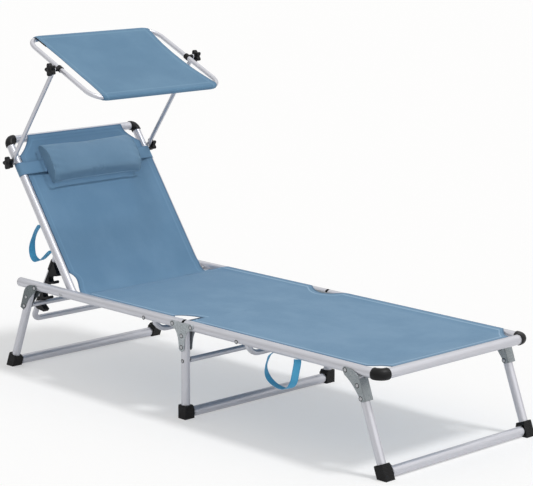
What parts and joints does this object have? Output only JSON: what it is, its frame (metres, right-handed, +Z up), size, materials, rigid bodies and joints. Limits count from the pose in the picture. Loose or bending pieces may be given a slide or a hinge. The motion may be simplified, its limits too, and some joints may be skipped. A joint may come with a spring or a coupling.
{
  "type": "folding sun lounger with canopy",
  "caption": "Folding garden sun lounger with an adjustable backrest, head pillow and tilting sun canopy on a tubular frame",
  "frame": {"origin": "centre of the footprint of the bounding box, on the floor", "axes": "+Z up, +X from the head end to the foot end, +Y to the far side in the picture"},
  "size_m": [1.6518, 0.6106, 1.0206],
  "materials": {
    "aluminium_tube": "satin anodised round tube",
    "zinc_steel": "zinc plated pressed sheet, dull with a fine mottle",
    "steel_pin": "plain plated steel",
    "black_plastic": "moulded, soft sheen",
    "grey_plastic": "moulded, matt",
    "seat_cloth": "dense plain weave, matt",
    "canopy_cloth": "dense plain weave, matt",
    "webbing": "ribbed woven webbing"
  },
  "bodies": {
    "middle_leg": {"middle_leg": "aluminium_tube", "middle_leg_brace": "aluminium_tube", "middle_shoe_near": "black_plastic", "middle_shoe_far": "black_plastic", "hinge_plate_outer_near": "zinc_steel", "hinge_plate_outer_far": "zinc_steel", "hinge_plate_inner_near": "zinc_steel", "hinge_plate_inner_far": "zinc_steel"},
    "seat_frame": {"seat_rail_near": "aluminium_tube", "seat_rail_far": "aluminium_tube", "seat_rail_cap_near": "grey_plastic", "seat_rail_cap_far": "grey_plastic", "seat_hinge_plug_near": "black_plastic", "seat_hinge_plug_far": "black_plastic", "back_pivot_pin_near": "steel_pin", "back_pivot_pin_far": "steel_pin", "seat_bow": "aluminium_tube", "seat_cloth": "seat_cloth"},
    "foot_frame": {"foot_frame": "aluminium_tube", "foot_corner_near": "black_plastic", "foot_corner_far": "black_plastic", "foot_hinge_plug_near": "black_plastic", "foot_hinge_plug_far": "black_plastic", "foot_bow": "aluminium_tube", "foot_cloth": "seat_cloth", "foot_loop": "webbing"},
    "rear_leg": {"rear_leg": "aluminium_tube", "rear_shoe_near": "black_plastic", "rear_shoe_far": "black_plastic", "rear_bracket_near": "zinc_steel", "rear_bracket_far": "zinc_steel", "rear_leg_brace": "aluminium_tube"},
    "front_leg": {"front_leg": "aluminium_tube", "front_shoe_near": "black_plastic", "front_shoe_far": "black_plastic", "front_bracket_near": "zinc_steel", "front_bracket_far": "zinc_steel"},
    "backrest": {"back_frame": "aluminium_tube", "back_corner_near": "black_plastic", "back_corner_far": "black_plastic", "bail_ear_near": "zinc_steel", "bail_ear_far": "zinc_steel", "back_cloth": "seat_cloth", "pillow": "seat_cloth", "pillow_band": "seat_cloth", "back_loop": "webbing"},
    "support_bail": {"support_bail": "aluminium_tube", "bail_rack_near": "black_plastic", "bail_rack_far": "black_plastic"},
    "canopy_arms": {"canopy_arm_near": "aluminium_tube", "canopy_arm_far": "aluminium_tube"},
    "canopy": {"canopy_frame": "aluminium_tube", "canopy_cloth": "canopy_cloth", "canopy_clamp_near": "black_plastic", "canopy_clamp_far": "black_plastic"},
    "lower_knob_near": {"lower_knob_near": "black_plastic"},
    "lower_knob_far": {"lower_knob_far": "black_plastic"},
    "upper_knob_near": {"upper_knob_near": "black_plastic"},
    "upper_knob_far": {"upper_knob_far": "black_plastic"}
  },
  "joints": [
    {"name": "seat_fold", "type": "hinge", "parent": "middle_leg", "child": "seat_frame", "pos_m": [0.00382, 0, 0.272], "axis": [0, -1, 0], "range_deg": [0, 87]},
    {"name": "foot_fold", "type": "hinge", "parent": "middle_leg", "child": "foot_frame", "pos_m": [0.07982, 0, 0.272], "axis": [0, 1, 0], "range_deg": [0, 87]},
    {"name": "rear_leg_fold", "type": "hinge", "parent": "seat_frame", "child": "rear_leg", "pos_m": [-0.62909, 0, 0.268], "axis": [0, -1, 0], "range_deg": [0, 111]},
    {"name": "front_leg_fold", "type": "hinge", "parent": "foot_frame", "child": "front_leg", "pos_m": [0.67673, 0, 0.268], "axis": [0, 1, 0], "range_deg": [0, 111]},
    {"name": "backrest_recline", "type": "hinge", "parent": "seat_frame", "child": "backrest", "pos_m": [-0.50518, 0, 0.267], "axis": [0, -1, 0], "range_deg": [0, 54.5], "deforming": ["back_loop"]},
    {"name": "bail_swing", "type": "hinge", "parent": "backrest", "child": "support_bail", "pos_m": [-0.60845, 0, 0.3825], "axis": [0, 1, 0], "range_deg": [0, 112]},
    {"name": "canopy_arm_swing", "type": "hinge", "parent": "backrest", "child": "canopy_arms", "pos_m": [-0.76708, 0, 0.63417], "axis": [0, 1, 0], "range_deg": [-50, 25]},
    {"name": "canopy_tilt", "type": "hinge", "parent": "canopy_arms", "child": "canopy", "pos_m": [-0.55211, 0, 0.93777], "axis": [0, 1, 0], "range_deg": [-65, 65]},
    {"name": "lower_knob_turn_near", "type": "hinge", "parent": "canopy_arms", "child": "lower_knob_near", "pos_m": [-0.76708, -0.285, 0.63417], "axis": [0, 1, 0], "continuous": true},
    {"name": "lower_knob_turn_far", "type": "hinge", "parent": "canopy_arms", "child": "lower_knob_far", "pos_m": [-0.76708, 0.285, 0.63417], "axis": [0, 1, 0], "continuous": true},
    {"name": "upper_knob_turn_near", "type": "hinge", "parent": "canopy_arms", "child": "upper_knob_near", "pos_m": [-0.55211, -0.285, 0.93777], "axis": [0, 1, 0], "continuous": true},
    {"name": "upper_knob_turn_far", "type": "hinge", "parent": "canopy_arms", "child": "upper_knob_far", "pos_m": [-0.55211, 0.285, 0.93777], "axis": [0, 1, 0], "continuous": true}
  ],
  "couplings": [
    {"joint": "bail_swing", "follows": "backrest_recline", "ratio": 2.048}
  ]
}
